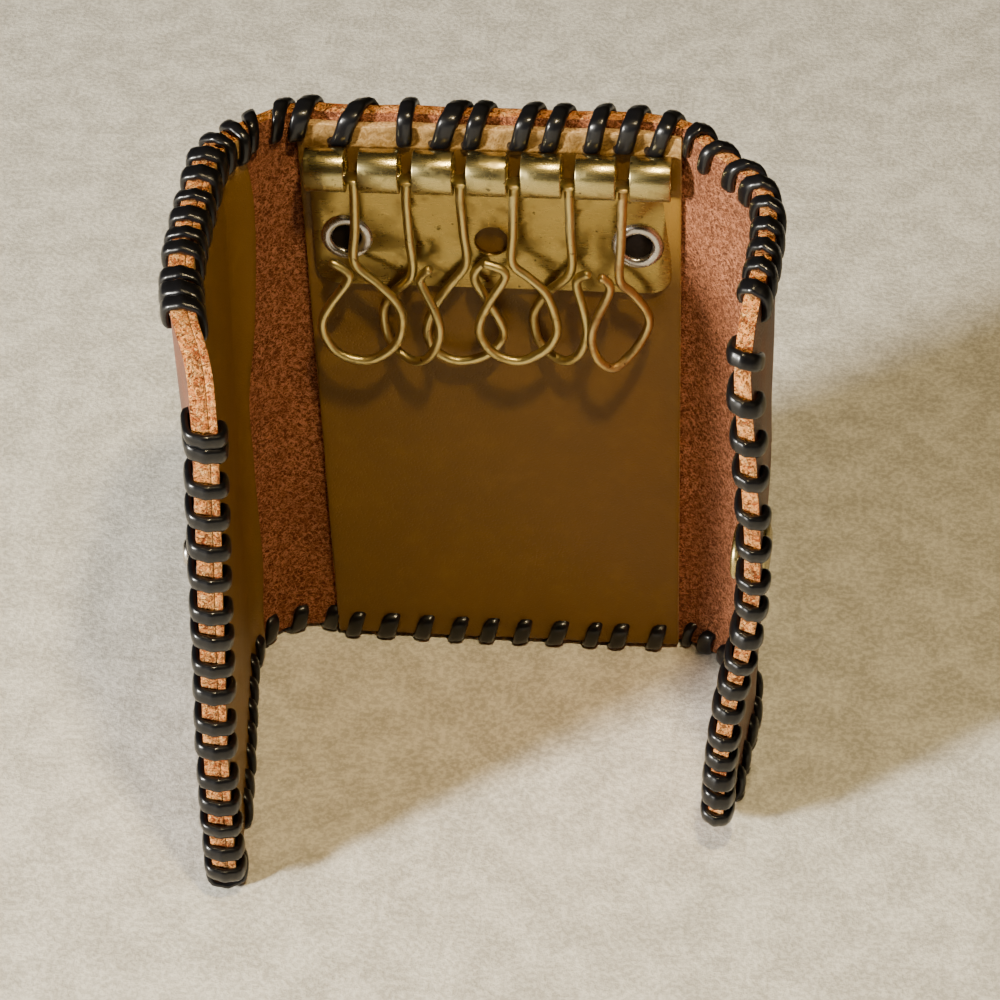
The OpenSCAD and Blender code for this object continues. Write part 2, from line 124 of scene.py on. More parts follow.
# %% A finish, built from nodes
class Finish:
    """A material with its own shader. Constants are fed to the shader's own sockets."""

    def __init__(self, name, **constants):
        self.material = bpy.data.materials.new(name)
        self.material.use_nodes = True
        self.tree = self.material.node_tree
        self.shader = self.tree.nodes["Principled BSDF"]
        self.wear(**constants)
        self.place = self.node("ShaderNodeTexCoord", output="Object")

    def node(self, kind, settings=(), inputs=(), output=0):
        made = self.tree.nodes.new(kind)
        for key, value in dict(settings).items():
            setattr(made, key, value)
        for key, value in dict(inputs).items():
            feed(self.tree, made.inputs[key], value)
        return Sum(self.tree, made.outputs[output])

    def stretched(self, x, y, z):
        """The place on the piece, drawn out along the axes whose numbers are small."""
        return self.node("ShaderNodeMapping", (), {"Vector": self.place, "Scale": (x, y, z)})

    def noise(self, size, detail=4.0, roughness=0.6, where=None, warp=0.0):
        """Noise from 0 to 1 whose patches are about that many millimetres across."""
        return self.node("ShaderNodeTexNoise", (), {
            "Vector": where or self.place, "Scale": 1.0 / (size * MM),
            "Detail": detail, "Roughness": roughness, "Distortion": warp})

    def strands(self, size, width, shift=(0.0, 0.0, 0.0)):
        """Curly fibres, 1 along them and 0 between. They lie where a noise passes its middle."""
        moved = self.node("ShaderNodeMapping", (), {"Vector": self.place, "Location": shift})
        off = self.noise(size, 2.0, 0.5, moved, 0.6) - 0.5
        return 1.0 - self.step(off * off, 0.0, width * width)

    def cells(self, size, feature="F1"):
        """Distance within cells of about that many millimetres: to a centre, or to an edge."""
        return self.node("ShaderNodeTexVoronoi", {"feature": feature},
            {"Vector": self.place, "Scale": 1.0 / (size * MM)}, "Distance")

    def step(self, value, low, high):
        """0 below low, 1 above high, and smooth between them."""
        return self.node("ShaderNodeMapRange", {"interpolation_type": "SMOOTHSTEP"},
            {"Value": value, "From Min": low, "From Max": high})

    def mix(self, share, first, second):
        """A colour between two colours."""
        return self.node("ShaderNodeMix", {"data_type": "RGBA"}, {0: share, 6: first, 7: second}, 2)

    def relief(self, height, depth):
        """A bumped normal. The height runs from 0 to 1 and the depth is in millimetres."""
        return self.node("ShaderNodeBump", (),
            {"Height": height, "Strength": 1.0, "Distance": depth * MM})

    def wear(self, **sockets):
        """Feed the shader's sockets, whose names are written with underscores here."""
        for key, value in sockets.items():
            name = key.replace("_", " ").title().replace("Ior", "IOR")
            feed(self.tree, self.shader.inputs[name], value)


print("sums and finishes ready")

# %% [markdown]
# ## The leathers
#
# Suede is a mat of short curly fibres, so it gets a noise for its nap, strands that lie over it,
# and a little sheen. Its pale curls and dark pits are partly painted highlight and painted shade.
# The grained outside is a fine net of creases, which is what Voronoi cells are good at. The cut
# edge is raw fibre, crumbly, pitted and more orange than the rest, with painted shade in its pits.
# The mustard lining is smooth, with fine pores, but its top few millimetres were drawn tight by the
# lace; there they are crackled, and painted paler as painted light. The lace is black and glossy.

# %% Suede, grain and raw edge
suede = Finish("suede", roughness=0.95, sheen_weight=0.08, sheen_roughness=0.5,
    sheen_tint=(0.9, 0.5, 0.3), specular_ior_level=0.06)
nap = suede.noise(0.5, 6.0, 0.72, warp=0.8)
curls = suede.strands(0.9, 0.05) * 0.75 + suede.strands(0.62, 0.07, (7.0, 3.0, 5.0)) * 0.5
patches = suede.noise(9.0, 3.0)
pile = suede.step(nap, 0.36, 0.66) * 0.55 + curls * 0.6
# The pile's colour is partly the fibres' own and partly painted light: the pale curls are painted
# highlight, and the dark between them is painted shade in the pits.
fibre_tone_and_painted_light = suede.mix(suede.step(pile, 0.05, 1.0), (0.095, 0.024, 0.009), (0.70, 0.275, 0.135))
suede.wear(base_color=suede.mix(suede.step(patches, 0.3, 0.75) * 0.3, fibre_tone_and_painted_light, (0.31, 0.098, 0.042)),
    normal=suede.relief(pile, 0.45))

grain = Finish("grained_outside", coat_weight=0.12, coat_roughness=0.35)
creases = grain.step(grain.cells(0.85, "DISTANCE_TO_EDGE"), 0.0, 0.22)
polish = grain.noise(6.0, 4.0)
scuffs = grain.step(grain.noise(1.4, 6.0, 0.7), 0.6, 0.74)
handled_hide = grain.mix(grain.step(polish, 0.3, 0.7), (0.075, 0.020, 0.008), (0.14, 0.038, 0.013))
grain.wear(base_color=grain.mix(scuffs * 0.5, handled_hide, (0.24, 0.082, 0.030)),
    roughness=0.40 + polish * 0.22, normal=grain.relief(creases * 0.8 + scuffs * 0.2, 0.05))

raw_edge = Finish("raw_edge", roughness=0.85, specular_ior_level=0.10)
crumbs = raw_edge.noise(0.6, 6.0, 0.75, warp=1.2)
layers = raw_edge.noise(2.2, 4.0, 0.65, warp=0.8)
pits = raw_edge.step(raw_edge.noise(0.8, 5.0, 0.7, warp=1.6), 0.50, 0.64)
torn = raw_edge.step(crumbs * 0.6 + layers * 0.4, 0.40, 0.60)
fibres = raw_edge.strands(0.8, 0.04, (2.0, 9.0, 4.0))
body = raw_edge.mix(torn, (0.30, 0.065, 0.016), (0.96, 0.40, 0.11))
frayed = raw_edge.mix(fibres * 0.6, body, (1.0, 0.62, 0.25))
# The pits sink in the relief and are painted near-black: painted shade in the pits.
raw_edge.wear(base_color=raw_edge.mix(pits * 0.8, frayed, (0.09, 0.018, 0.006)),
    normal=raw_edge.relief(crumbs * 0.4 + layers * 0.4 + fibres * 0.3 - pits * 0.5 + 0.4, 0.55))
print("suede, grained outside and raw edge")

# %% Mustard lining and black lace
mustard = Finish("mustard_lining", coat_weight=0.03, coat_roughness=0.4, specular_ior_level=0.25)
pores = mustard.cells(0.42)
clouds = mustard.noise(14.0, 4.0)
handled = mustard.step(mustard.noise(5.0, 5.0, 0.65), 0.45, 0.8)
# Between these heights the top strip is crackled and painted paler: the paler colour is painted
# light.
LIT_AND_CRACKLED_FROM, LIT_AND_CRACKLED_TO = 90.0, 93.5  # heights between which the lining turns pale and crackled
height = mustard.node("ShaderNodeSeparateXYZ", (), {0: mustard.place}, 2)
crackle = mustard.noise(1.1, 5.0, 0.7, warp=0.9)
# The mask of the top strip drives a real crackle, and a paler colour that is painted light.
drawn = mustard.step(height + crackle * (3.0 * MM), LIT_AND_CRACKLED_FROM * MM, LIT_AND_CRACKLED_TO * MM)
dyed = mustard.mix(clouds, (0.122, 0.060, 0.0045), (0.168, 0.084, 0.0065))
smooth = mustard.mix(handled * 0.5, dyed, (0.20, 0.106, 0.010))
# The pale crackled colour of the top strip is painted light over the crackle.
rough = mustard.mix(mustard.step(crackle, 0.35, 0.65), (0.20, 0.105, 0.027), (0.38, 0.235, 0.085))
mustard.wear(base_color=mustard.mix(drawn * 0.9, smooth, rough),
    roughness=0.46 + clouds * 0.14 + drawn * 0.2,
    normal=mustard.relief(mustard.step(pores, 0.1, 0.5) + drawn * crackle * 4.0, 0.03))

lining_edge = Finish("lining_edge", roughness=0.8, specular_ior_level=0.3)
shreds = lining_edge.noise(0.35, 5.0, 0.7)
torn_lining = lining_edge.step(shreds, 0.3, 0.7)
lining_edge.wear(
    base_color=lining_edge.mix(torn_lining, (0.30, 0.14, 0.035), (0.74, 0.50, 0.23)),
    normal=lining_edge.relief(shreds, 0.2))

lace = Finish("black_lace", coat_weight=0.22, coat_roughness=0.12, specular_ior_level=0.30)
stretch = lace.noise(0.9, 4.0, 0.6)
rub = lace.step(lace.noise(2.4, 5.0, 0.7), 0.55, 0.8)
lace.wear(base_color=lace.mix(rub * 0.5, (0.004, 0.004, 0.005), (0.013, 0.012, 0.012)),
    roughness=0.27 + rub * 0.2 + stretch * 0.06, normal=lace.relief(stretch, 0.04))
# A near-black finish for discs that close the eyelets' bores: painted shade, standing in for the
# dark deep inside a bore.
bore_painted_shade = Finish("bore_painted_shade", roughness=0.9, specular_ior_level=0.1)
bore_painted_shade.wear(base_color=bore_painted_shade.mix(
    bore_painted_shade.noise(0.6), (0.004, 0.003, 0.003), (0.016, 0.011, 0.008)))
print("mustard lining, its edge, black lace and the dark of a bore")

# %% [markdown]
# ## The metals
#
# The brass is old: bright where keys and fingers rub it, brown to green-black where they don't.
# The marks of rolling run along the bar, so one noise is drawn out along X. The sheet below the
# bar has a darker copy of the bar's brass, which is painted shade. The hooks are brass wire with a
# thinner tarnish, the last one redder than the rest. The stud and the eyelets are nickel.

# %% Brass and nickel
ALONG_BAR, ALONG_WIRE, ALONG_PROFILE = (0.12, 1.0, 1.0), (1.0, 1.0, 0.2), (1.0, 1.0, 0.3)


def old_metal(name, bright, dull, dark, scratch_way, rough, tarnished):
    """Metal with fine scratches along one way, dull patches between two levels, and dark spots."""
    metal = Finish(name, metallic=1.0)
    scratches = metal.noise(0.25, 5.0, 0.65, metal.stretched(*scratch_way))
    cloud = metal.noise(2.6, 5.0, 0.62)
    patch = metal.step(cloud, *tarnished)
    spots = metal.step(metal.noise(1.1, 3.0, 0.5), 0.68, 0.74)
    skin = metal.mix(patch * 0.75, bright, dull)
    metal.wear(base_color=metal.mix(spots * 0.8, skin, dark),
        roughness=rough + patch * 0.22 + spots * 0.2 + scratches * 0.12,
        normal=metal.relief(scratches * 0.6 + cloud * 0.4, 0.02))
    return metal.material


bar_brass = old_metal("bar_brass", (0.50, 0.41, 0.17), (0.32, 0.25, 0.10),
    (0.07, 0.055, 0.03), ALONG_BAR, 0.21, (0.5, 0.72))
# The sheet's brass is a darker copy of the bar's: painted shade.
shaded_sheet_brass = old_metal("shaded_sheet_brass", (0.33, 0.235, 0.07), (0.24, 0.155, 0.045),
    (0.08, 0.055, 0.02), ALONG_BAR, 0.22, (0.48, 0.78))
hook_brass = old_metal("hook_brass", (0.58, 0.47, 0.19), (0.38, 0.27, 0.09),
    (0.12, 0.07, 0.03), ALONG_WIRE, 0.30, (0.46, 0.75))
red_brass = old_metal("red_brass", (0.54, 0.41, 0.17), (0.36, 0.20, 0.08),
    (0.14, 0.06, 0.03), ALONG_WIRE, 0.30, (0.44, 0.66))
nickel = old_metal("nickel", (0.52, 0.49, 0.45), (0.34, 0.30, 0.26),
    (0.10, 0.09, 0.07), ALONG_PROFILE, 0.2, (0.5, 0.8))
print("brass for the bar, the sheet and the hooks, red brass and nickel")

# %% [markdown]
# ## The strip of leather, flat and then bent
#
# The real case was cut flat, laced flat and bent last, and it is modelled the same way. Every
# leather piece and every stitch is first placed by three numbers: how far along the strip from
# the middle of the back, how high, and how far out from the middle of the leather's thickness.
# One function then carries those numbers to the standing case: the back is straight, each side
# has a bend, and each flap runs straight on.
#
# Leather never bends evenly, so a second function gives how far each part stands from the even
# curve: the left flap leans in at its top, and the right one bows out in its upper half. At
# their feet both stand where they still pass each other when the case closes.

# %% The line that the leather follows
HALF_BACK, COVER_T, LINING_T = 25.8, 2.2, 1.1
HALF_T = COVER_T / 2
LOW, HIGH = 1.0, 94.8
# A side starts with a crease, tighter than the bend that follows it. Turns are in degrees,
# corners are the radii of the upper and the lower free corner, and folds are counted from the
# end of the back.
Side = namedtuple("Side", "crease_r crease bend_r turn flap corners folds")
SIDES = {"left": Side(11.8, 0.0, 11.8, 96.5, 43.4, (10.0, 4.6), (3.7, 14.2)),
         "right": Side(5.0, 36.0, 21.0, 97.0, 23.36, (10.4, 8.0), (2.4, 20.4))}


def bend_run(side):
    """Length of a side's bend, along the middle of the leather."""
    crease_r, crease, bend_r, turn = SIDES[side][:4]
    return crease_r * math.radians(crease) + bend_r * math.radians(turn - crease)


def front_edge(side):
    """How far along the strip a flap's free end is from the middle of the back."""
    return HALF_BACK + bend_run(side) + SIDES[side].flap


def on_line(side, run, out):
    """Where the leather's line is after a run from the end of the back, seen from above."""
    crease_r, crease, bend_r, turn = SIDES[side][:4]
    crease, turn = math.radians(crease), math.radians(turn)
    x, y = HALF_BACK, HALF_T - crease_r
    if run < 0:
        return x + run, HALF_T + out
    if run < crease_r * crease:
        angle, r = run / crease_r, crease_r + out
        return x + r * math.sin(angle), y + r * math.cos(angle)
    x, y = x - (bend_r - crease_r) * math.sin(crease), y - (bend_r - crease_r) * math.cos(crease)
    angle = min(turn, crease + (run - crease_r * crease) / bend_r)
    past = max(0.0, run - bend_run(side))
    return (x + (bend_r + out) * math.sin(angle) + past * math.cos(angle),
            y + (bend_r + out) * math.cos(angle) - past * math.sin(angle))


print("bends run", [round(bend_run(side), 1) for side in SIDES], "mm")

# %% How unevenly the leather stands
def through(x, stops):
    """A smooth curve through (place, value) stops, level beyond its ends."""
    if x <= stops[0][0]:
        return stops[0][1]
    for i in range(1, len(stops)):
        (x0, y0), (x1, y1) = stops[i - 1], stops[i]
        if x <= x1:
            before, after = stops[max(i - 2, 0)], stops[min(i + 1, len(stops) - 1)]
            m0 = (y1 - before[1]) / (x1 - before[0]) * (x1 - x0) if i > 1 else 0.0
            m1 = (after[1] - y0) / (after[0] - x0) * (x1 - x0) if i < len(stops) - 1 else 0.0
            t = (x - x0) / (x1 - x0)
            return ((2 * t ** 3 - 3 * t ** 2 + 1) * y0 + (t ** 3 - 2 * t ** 2 + t) * m0
                    + (3 * t ** 2 - 2 * t ** 3) * y1 + (t ** 3 - t ** 2) * m1)
    return stops[-1][1]


HEIGHTS = (0.0, 25.0, 50.0, 94.0)
# run from the end of the back, then how far out the leather stands at each height
STANCE = {
    "left": ((-3, (0, 0, 0, 0)), (9.9, (1.9, 1.1, 0, -2.4)), (19.9, (2.1, 1.5, 0.5, -0.9)),
             (41, (1.8, 1.4, 0.6, 1.0)), (53, (2.0, 1.5, 0.4, 0.2)), (63.3, (2.2, 1.6, 0.1, -2.2))),
    "right": ((-7, (0, 0, 0, 0)), (2, (0.2, 0.1, -0.4, -2.2)), (9, (0.9, 0.4, -0.6, -3.3)),
              (25.5, (-1.0, -0.2, 0.6, 0.5)), (38, (-1.2, -0.4, 1.6, 1.4)),
              (48.9, (-1.4, -0.2, 3.0, 0.9))),
}
RIPPLE, RIPPLE_SIZE = 0.12, 11.0  # how far the faces are out of true, and over what length
WAVE, WAVE_SIZE, WAVE_FROM, WAVE_TO = 0.25, 7.0, 60.0, 95.0  # how far the top edge goes up and down


def stance(side, run, z):
    """How far out the leather stands there, beyond the even curve."""
    return through(run, [(at, through(z, list(zip(HEIGHTS, outs)))) for at, outs in STANCE[side]])


def bent(along, z, out):
    """From the flat strip to the standing case."""
    side = "left" if along < 0 else "right"
    run = abs(along) - HALF_BACK
    ripple = RIPPLE * noise.noise((along / RIPPLE_SIZE, z / RIPPLE_SIZE, 0.0))
    x, y = on_line(side, run, out + stance(side, run, z) + ripple)
    wave = WAVE * noise.noise((along / WAVE_SIZE, 3.0, 0.0))
    edge_wave = wave * max(0.0, z - WAVE_FROM) / (WAVE_TO - WAVE_FROM)
    return Vector((-x if side == "left" else x, y, z + edge_wave))


print("left flap's top front corner stands at", [round(c, 1) for c in bent(-89.0, 94.0, 0.0)])

# %% [markdown]
# ## Finishing a piece
#
# A finished piece sits at the origin with its place in its mesh, as an imported piece does. It
# rides on one body when it is given one, and the imported nodes that it stands for are hidden.

# %% Finish a piece
def finish_piece(name, bm, materials, body=None, nodes=(), sharp=42.0):
    """Make a bmesh in millimetres a piece of the case, in the shared frame."""
    bmesh.ops.recalc_face_normals(bm, faces=bm.faces[:])
    for v in bm.verts:
        v.co = (v.co + MIDDLE) * MM
    mesh = bpy.data.meshes.new(name)
    bm.to_mesh(mesh)
    bm.free()
    for material in materials:
        mesh.materials.append(material)
    mesh.shade_smooth()
    mesh.set_sharp_from_angle(angle=math.radians(sharp))
    piece = bpy.data.objects.new(name, mesh)
    bpy.context.scene.collection.objects.link(piece)
    if body:
        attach(piece, body)
    else:
        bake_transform(piece)
    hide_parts(*nodes)
    print(name, len(mesh.polygons), "faces", [round(d / MM, 1) for d in piece.dimensions], "mm")


def fold(side, which, reach):
    """The two bodies on either side of a fold, and the stretch over which leather turns there."""
    bodies = ("case_back", side + "_bend", side + "_flap")
    line, sign = SIDES[side].folds[which - 1], -1 if side == "left" else 1
    ends = [on_line(side, line + shift, 0.0) for shift in (-reach, reach)]
    return (bodies[which - 1], bodies[which],
            *[(Vector((sign * x, y, 0.0)) + MIDDLE) * MM for x, y in ends])


SPLIT = {"left": 9.0, "right": 11.4}  # where each bend is cut in two, half way between its folds
# how far before and after each fold the leather turns
TURNS_OVER = {("left", 1): 3.6, ("left", 2): 3.6, ("right", 1): 2.4, ("right", 2): 5.0}
FOLDS = {(side, which): fold(side, which, reach) for (side, which), reach in TURNS_OVER.items()}
print("folds", [[round(c / MM, 1) for c in f[2]] for f in FOLDS.values()])

# %% [markdown]
# ## Leather panels
#
# A panel starts as a flat grid. Its free corners are rounded by a formula that carries a square
# onto a quarter circle, the grid is extruded to the leather's thickness, and the cut rim is
# bevelled. Only then is it bent, so its thickness stays true all the way round. The imported model
# has five stretches of leather with soft folds between them. Here two pieces on each side are bent
# across the folds instead, one fold each, and a straight back joins them.

# %% Cut a panel and bend it
NEAR_SEAM = 0.01  # an edge within this distance of a seam is left square
RIM_TURN = 1.0  # an edge that turns further than this, in radians, is a cut rim
FACES_OUT = 0.75  # the share of a normal above which a face belongs to a side and not to the rim


def round_corner(v, free_end, radii, top):
    """Carry the square corner of a panel onto a quarter circle."""
    way = 1.0 if free_end > 0 else -1.0
    upper = v.co.y > (LOW + top) / 2
    r = radii[0] if upper else radii[1]
    u = (v.co.x * way - (abs(free_end) - r)) / r
    w = ((v.co.y - (top - r)) if upper else ((LOW + r) - v.co.y)) / r
    if u > 0 and w > 0:
        u, w = u * math.sqrt(1 - w * w / 2), w * math.sqrt(1 - u * u / 2)
        v.co.x = way * (abs(free_end) - r + u * r)
        v.co.y = (top - r + w * r) if upper else (LOW + r - w * r)


def panel(start, end, inner, outer, seams=(), corners=None, rim=0.35, step=1.5, top=HIGH):
    """A slab of leather in flat measures: along the strip, up it, and out through it."""
    bm = bmesh.new()
    wide, high = abs(end - start), top - LOW
    bmesh.ops.create_grid(bm, x_segments=round(wide / step), y_segments=round(high / step),
        size=0.5)
    bmesh.ops.scale(bm, vec=(wide, high, 1.0), verts=bm.verts[:])
    bmesh.ops.translate(bm, vec=((start + end) / 2, (LOW + top) / 2, inner), verts=bm.verts[:])
    if corners:
        for v in bm.verts:
            round_corner(v, end, corners, top)
    raised = bmesh.ops.extrude_face_region(bm, geom=bm.faces[:])["geom"]
    bmesh.ops.translate(bm, vec=(0, 0, outer - inner),
        verts=[g for g in raised if isinstance(g, bmesh.types.BMVert)])
    bmesh.ops.recalc_face_normals(bm, faces=bm.faces[:])
    on_seam = lambda e: any(all(abs(v.co.x - s) < NEAR_SEAM for v in e.verts) for s in seams)
    rims = [e for e in bm.edges if e.calc_face_angle(0.0) > RIM_TURN and not on_seam(e)]
    bmesh.ops.bevel(bm, geom=rims, offset=rim, segments=2, profile=0.5, affect="EDGES",
        material=-1, clamp_overlap=True)
    for f in bm.faces:
        f.material_index = 0 if f.normal.z < -FACES_OUT else 1 if f.normal.z > FACES_OUT else 2
    return bm


def bend_panel(bm, relief=None):
    """Carry a flat panel to the standing case. A relief raises the inner face of a lining."""
    for v in bm.verts:
        along, z, out = v.co
        if relief and out < -HALF_T - LINING_T / 2:
            out -= relief(along, z)
        v.co = bent(along, z, out)
    return bm


cover = [suede.material, grain.material, raw_edge.material]
finish_piece("leather_back", bend_panel(panel(-HALF_BACK, HALF_BACK, -HALF_T, HALF_T,
    seams=(-HALF_BACK, HALF_BACK))), cover, "case_back", nodes=("cover_back",))

# %% The bends and the flaps
for side in SIDES:
    sign = -1 if side == "left" else 1
    start, split = sign * HALF_BACK, sign * (HALF_BACK + SPLIT[side])
    end = sign * front_edge(side)
    finish_piece(f"leather_{side}_bend", bend_panel(panel(start, split, -HALF_T, HALF_T,
        seams=(start, split), step=1.0)), cover,
        nodes=(f"cover_{side}_bend", f"fold_{side}"))
    finish_piece(f"leather_{side}_flap", bend_panel(panel(split, end, -HALF_T, HALF_T,
        seams=(split,), corners=SIDES[side].corners, step=1.0)), cover,
        nodes=(f"cover_{side}_flap",))

# %% [markdown]
# ## The lining
#
# The lining is glued in two sheets: one on the back between the bends, and one on the left flap,
# which starts in the bend with an uneven edge and so crosses the outer fold. It is thin and was
# laced while damp, so it is drawn in at each hole along its top edge and puckered between them.
# The puckers are a small relief that fades away below the bar.

# %% Line the back and the left flap
BACK_TOP_HOLES = (-20.6, -11.5, -7.2, -2.8, 3.1, 7.4, 13.1, 17.3, 21.4)
LINING_TOP = HIGH - 1.3
PUCKER_REACH = 4.6  # how far down from the top edge the puckers fade
HOLES_DOWN = 3.4  # how far below the top edge the lace goes through


def puckers(along, z):
    """Folds between the stitches, deepest at the top edge, and a dimple at each hole."""
    depth = math.exp(-((HIGH - z) / PUCKER_REACH) ** 2)
    wave = noise.noise((along / 1.9, z / 7.0, 7.0)) + 0.5 * noise.noise((along / 0.8, z / 2.5, 2.0))
    swell = 0.25 * noise.noise((along / 16.0, z / 16.0, 5.0))
    dimple = sum(math.exp(-((along - x) ** 2 + (z - HIGH + HOLES_DOWN) ** 2) / 1.6)
                 for x in BACK_TOP_HOLES)
    return (depth * (0.4 + 0.6 * wave) - 0.7 * dimple
            + swell * max(0.0, min(1.0, (z - LOW) / 10.0, (HIGH - z) / 10.0)))


lined = [mustard.material, mustard.material, lining_edge.material]
finish_piece("lining_of_back", bend_panel(panel(-HALF_BACK, HALF_BACK, -HALF_T - LINING_T, -HALF_T,
    rim=0.25, step=0.75, top=LINING_TOP), puckers), lined, "case_back",
    nodes=("centre_lining",))

# %% Start the left lining in the bend
LINED_FROM = 12.0
# height, and the run at which the lining starts there
SEAM = ((6, 13.1), (18, 12.4), (35, 12.9), (50, 13.4),
        (62, 11.4), (73, 10.4), (84, 10.2), (93, 11.6))
SEAM_REACH = 8.0  # how far from the seam the sheet is shifted to meet it
left_lining = panel(-(HALF_BACK + LINED_FROM), -front_edge("left"),
    -HALF_T - LINING_T, -HALF_T, corners=SIDES["left"].corners, rim=0.25, step=1.0)
for v in left_lining.verts:
    past_seam = -v.co.x - HALF_BACK - LINED_FROM
    v.co.x -= (through(v.co.y, SEAM) - LINED_FROM) * max(0.0, 1.0 - past_seam / SEAM_REACH)
finish_piece("lining_of_left_flap", bend_panel(left_lining), lined[:2] + [raw_edge.material],
    nodes=("lining_left",))

# %% [markdown]
# ## The lace
#
# A flat lace runs round every free edge in one long spiral: up out of a hole inside, over the
# edge, down into the next hole outside. Each turn is a band with a cushioned section that narrows
# where it dives into a hole. It leans by one hole's distance, always the same way round.
#
# A skin over rings makes a band: a flat grid is moved onto the rings, its seam is merged, and
# its two ends are closed. The same skin makes the hooks.

# %% A skin over rings
def skin(bm, rings):
    """Add a closed skin over rings that have the same number of points each."""
    rows, columns = len(rings), len(rings[0])
    made = bmesh.ops.create_grid(bm, x_segments=rows - 1, y_segments=columns, size=0.5)["verts"]
    for v in made:
        row, column = round((v.co.x + 0.5) * (rows - 1)), round((v.co.y + 0.5) * columns)
        v.co = rings[row][column % columns]
    bmesh.ops.remove_doubles(bm, verts=made, dist=0.0005)
    rims = {e for v in made if v.is_valid for e in v.link_edges if e.is_boundary}
    bmesh.ops.holes_fill(bm, edges=list(rims), sides=0)


def smooth_path(points, count):
    """Evenly numbered points on a smooth curve through the given ones."""
    stops = [[(i, p[axis]) for i, p in enumerate(points)] for axis in range(len(points[0]))]
    last = len(points) - 1
    return [[through(last * i / (count - 1), stop) for stop in stops] for i in range(count)]


# %% One turn of lace
LACE_T, LACE_W = 1.2, 2.35
LACE_REACH = 3.6  # how far from the edge a turn goes into the leather
LACE_ROWS, LACE_SIDES = 25, 12
SOFT = 0.8  # below 1, the section is a cushion rather than an ellipse


def turn_of_lace(bm, along, z, outward, lean, inner, outer, width, twist, reach=LACE_REACH):
    """A band over the edge at (along, z), which faces outward in the flat strip."""
    us, uz = math.cos(outward), math.sin(outward)
    centre, half, lift = (inner + outer) / 2, (outer - inner) / 2, LACE_T / 2 + 0.04
    inside = [(-reach, -half + 0.7), (-reach + 0.2, -half - 0.2), (-reach + 1.0, -half - lift),
        (-0.9, -half - lift), (0.25, -half - lift * 0.35), (lift * 0.95, -half * 0.45)]
    outside = [(depth, -out) for depth, out in reversed(inside)]
    path = smooth_path(inside + [(lift + 0.22, 0.0)] + outside, LACE_ROWS)
    line = []
    for i, (depth, out) in enumerate(path):
        slant = i / (len(path) - 1) - 0.5
        shift = lean * math.copysign(abs(2 * slant) ** 1.5, slant) / 2
        line.append(Vector((along + us * depth - uz * shift,
                            z + uz * depth + us * shift, centre + out)))
    rings = []
    for i, p in enumerate(line):
        way = (line[min(i + 1, len(line) - 1)] - line[max(i - 1, 0)]).normalized()
        share = i / (len(line) - 1)
        across = Vector((-uz, us, 0.0))
        across = (across - across.dot(way) * way).normalized()
        away = way.cross(across)
        narrow = 0.62 + 0.38 * min(1.0, 7.0 * min(share, 1 - share))
        roll = twist * math.sin(math.pi * share)
        across, away = (across * math.cos(roll) + away * math.sin(roll),
                        away * math.cos(roll) - across * math.sin(roll))
        ring = []
        for j in range(LACE_SIDES):
            a = 2 * math.pi * j / LACE_SIDES
            c, s = math.cos(a), math.sin(a)
            c, s = math.copysign(abs(c) ** SOFT, c), math.copysign(abs(s) ** SOFT, s)
            ring.append(p + across * (c * narrow * width / 2) + away * (s * LACE_T / 2))
        rings.append([bent(*q) for q in ring])
    skin(bm, rings)


print("one turn of lace has", LACE_ROWS * LACE_SIDES, "points")

# %% [markdown]
# The turns are placed as they were on the real case, not evenly: the hand that laced it left wide
# and narrow gaps, doubled the lace twice on the left flap, and skipped the left flap's upper
# corner, where it had worn through. The lists give each turn's place along its edge.

# %% Where each turn goes
def jitter(value, seed, size=0.3):
    """A value moved a little, by the same amount each run."""
    return value + size * noise.noise((value / 3.0, seed, 0.5))


def wall(along, top=False):
    """Inner face there, lining included. The left flap's lining starts sooner at the top."""
    seam = HALF_BACK + LINED_FROM + (-1.4 if top else 0.6)
    lined_there = abs(along) < HALF_BACK - 0.4 or along < -seam
    return -HALF_T - (LINING_T if lined_there else 0.0)


def along_edge(bm, places, top, seed, leans=(), reach=LACE_REACH):
    """Turns over the top or the bottom edge. They lean against the way that the lace travels."""
    for i, along in enumerate(places):
        lean = leans[i] if i < len(leans) else jitter(4.2, seed + i, 1.6)
        z, outward = (HIGH, math.pi / 2) if top else (LOW, -math.pi / 2)
        turn_of_lace(bm, jitter(along, seed), z, outward, -lean, wall(along, top), HALF_T,
            jitter(LACE_W, seed + i, 0.5), jitter(0.0, seed + i, 0.5), reach)


def round_free_end(bm, side, places, seed):
    """Turns round a flap's free end, by their lengths along the rim from the middle of it."""
    sign = -1 if side == "left" else 1
    front = front_edge(side)
    for i, place in enumerate(places):
        up = 1 if place > 0 else -1
        corner = SIDES[side].corners[0 if place > 0 else 1]
        straight = (HIGH - LOW) / 2 - corner
        past = max(0.0, abs(place) - straight) / corner
        angle = min(past, math.pi / 2)
        along = front - corner + corner * math.cos(angle)
        z = (LOW + HIGH) / 2 + up * (min(abs(place), straight) + corner * math.sin(angle))
        outward = up * angle if sign > 0 else math.pi - up * angle
        turn_of_lace(bm, sign * along, z, outward, -jitter(3.6, seed + i, 1.5),
            wall(sign * (front - 5)), HALF_T, jitter(LACE_W, seed + i, 0.4),
            jitter(0.0, seed + i, 0.4))


def finish_lace(name, bm, nodes, body=None):
    """A run of lace, shaded smooth over all but its sharpest turns."""
    finish_piece(name, bm, [lace.material], body, nodes, sharp=80.0)


